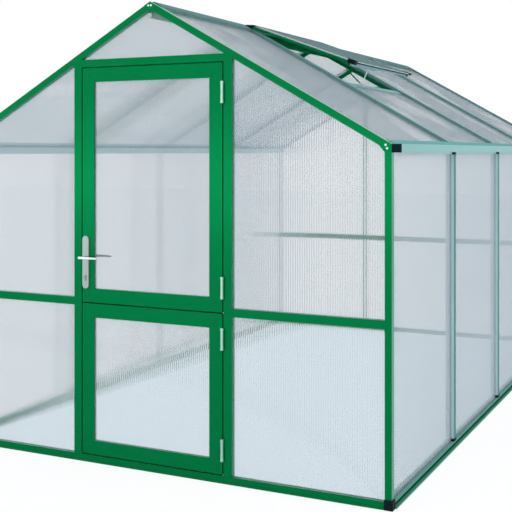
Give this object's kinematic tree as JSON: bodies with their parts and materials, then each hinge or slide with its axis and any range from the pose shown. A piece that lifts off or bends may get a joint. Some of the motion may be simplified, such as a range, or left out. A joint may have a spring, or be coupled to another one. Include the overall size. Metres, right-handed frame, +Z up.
{
  "type": "polycarbonate greenhouse",
  "caption": "Gabled garden greenhouse of green aluminium profiles and clear twin-wall sheets, with a stable door in two leaves, a lever handle, side gutters and an open roof vent.",
  "frame": {"origin": "on the ground under the middle of the whole object's box", "axes": "+X to the right as seen from outside the door, +Y from the door gable to the back gable, +Z up"},
  "size_m": [2.592, 4.341, 2.3335],
  "materials": {
    "green_frame": "satin green powder coat on aluminium profiles",
    "side_profiles": "satin green powder coat, seen pale at a low angle",
    "twin_wall_sheet": "clear twin-wall polycarbonate with fine ribs",
    "black_plastic": "black moulded plastic",
    "silver_fittings": "silver anodised fittings"
  },
  "bodies": {
    "house": {"base_rail_front": "green_frame", "base_rail_back": "green_frame", "base_rail_left": "green_frame", "base_rail_right": "green_frame", "base_corner_caps": "black_plastic", "corner_posts_front": "green_frame", "corner_posts_back": "green_frame", "rafters_front": "green_frame", "rafters_back": "green_frame", "gusset_plates": "green_frame", "door_jambs": "green_frame", "door_header": "green_frame", "door_stops": "green_frame", "mid_rails_front": "green_frame", "back_studs": "green_frame", "back_header": "green_frame", "mid_rails_back": "green_frame", "eave_gutter_left": "side_profiles", "eave_gutter_right": "side_profiles", "gutter_end_caps": "black_plastic", "roof_edges": "side_profiles", "ridge_beam": "side_profiles", "wall_bars": "side_profiles", "wall_bar_caps": "black_plastic", "roof_bars": "side_profiles", "gable_sheets_front": "twin_wall_sheet", "gable_sheets_back": "twin_wall_sheet", "wall_sheets_left": "twin_wall_sheet", "wall_sheets_right": "twin_wall_sheet", "roof_sheets_left": "twin_wall_sheet", "roof_sheets_right": "twin_wall_sheet", "vent_frame": "green_frame", "vent_sheet": "twin_wall_sheet", "vent_edge_caps": "black_plastic", "vent_sill": "side_profiles", "vent_opener": "silver_fittings", "hinge_frame_halves": "silver_fittings"},
    "door_lower": {"lower_leaf_frame": "green_frame", "lower_leaf_sheet": "twin_wall_sheet", "lower_leaf_hinges": "silver_fittings"},
    "door_upper": {"upper_leaf_frame": "green_frame", "upper_leaf_sheet": "twin_wall_sheet", "upper_leaf_hinges": "silver_fittings", "handle_plates": "silver_fittings", "lock_cylinder": "silver_fittings"},
    "door_lever": {"door_lever": "silver_fittings"}
  },
  "joints": [
    {"name": "lower_leaf_swing", "type": "hinge", "parent": "house", "child": "door_lower", "pos_m": [0.408, -2.118, 0.426], "axis": [0, 0, 1], "range_deg": [0, 115]},
    {"name": "upper_leaf_swing", "type": "hinge", "parent": "house", "child": "door_upper", "pos_m": [0.408, -2.118, 1.414], "axis": [0, 0, 1], "range_deg": [0, 115]},
    {"name": "lever_turn", "type": "hinge", "parent": "door_upper", "child": "door_lever", "pos_m": [-0.382, -2.096, 1.045], "axis": [0, 1, 0], "range_deg": [0, 40], "stiffness_Nm_per_rad": 1.4, "springref_deg": -20.05}
  ]
}
